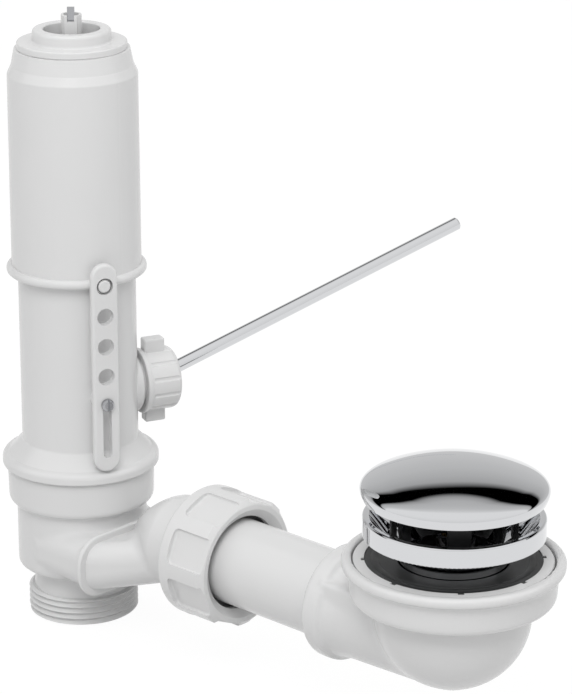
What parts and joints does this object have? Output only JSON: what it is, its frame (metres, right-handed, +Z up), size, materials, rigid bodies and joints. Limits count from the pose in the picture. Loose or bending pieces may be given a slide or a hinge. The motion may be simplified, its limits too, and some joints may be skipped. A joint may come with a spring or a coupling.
{
  "type": "bath waste and overflow",
  "caption": "Plastic waste with a domed chrome cover, joined by a pipe to an overflow tower whose tilting lever lifts the standpipe inside.",
  "frame": {"origin": "centre of the threaded outlet's lower end, on the tower's axis", "axes": "+Z up along the tower, +X along the connecting pipe from the tower to the waste"},
  "size_m": [0.2549, 0.1872, 0.2365],
  "materials": {
    "white_plastic": "moulded, soft gloss",
    "dark_plastic": "moulded, dull",
    "grey_rubber": "dull rubber",
    "chrome": "polished plating",
    "steel": "bright steel",
    "brass": "turned"
  },
  "bodies": {
    "base": {"base_body": "white_plastic", "inlet_neck": "white_plastic", "compression_nut": "white_plastic", "slip_washer": "dark_plastic", "pipe_seal": "grey_rubber", "connecting_pipe": "white_plastic", "waste_body": "white_plastic", "seal_carrier": "white_plastic", "basin_gasket": "grey_rubber", "thread_insert": "brass", "waste_flange": "chrome", "flange_screw": "steel", "cover_cap": "chrome", "cap_carrier": "dark_plastic", "outer_tube": "white_plastic", "tube_seal": "grey_rubber", "sleeve_seal": "grey_rubber", "guide_screw": "steel", "ball_seat_inner": "dark_plastic", "ball_seat_outer": "dark_plastic", "lever_nut": "white_plastic"},
    "sleeve": {"upper_sleeve": "white_plastic", "sleeve_cap": "white_plastic", "height_strip": "white_plastic"},
    "overflow": {"standpipe": "white_plastic", "seat_seal": "grey_rubber", "lift_stem": "white_plastic", "stem_blade": "steel"},
    "lever": {"lever_rod": "chrome", "pivot_ball": "dark_plastic"}
  },
  "joints": [
    {"name": "sleeve_slide", "type": "slide", "parent": "base", "child": "sleeve", "axis": [0, 0, 1], "range_m": [0, 0.0192]},
    {"name": "lever_hinge", "type": "hinge", "parent": "base", "child": "lever", "pos_m": [0.0116, 0.02799, 0.0887], "axis": [-0.9239, 0.3827, 0], "range_deg": [0, 32]},
    {"name": "standpipe_lift", "type": "slide", "parent": "base", "child": "overflow", "axis": [0, 0, 1], "range_m": [0, 0.0074]}
  ],
  "couplings": [
    {"joint": "standpipe_lift", "follows": "lever_hinge", "m_per_rad": 0.0132}
  ]
}
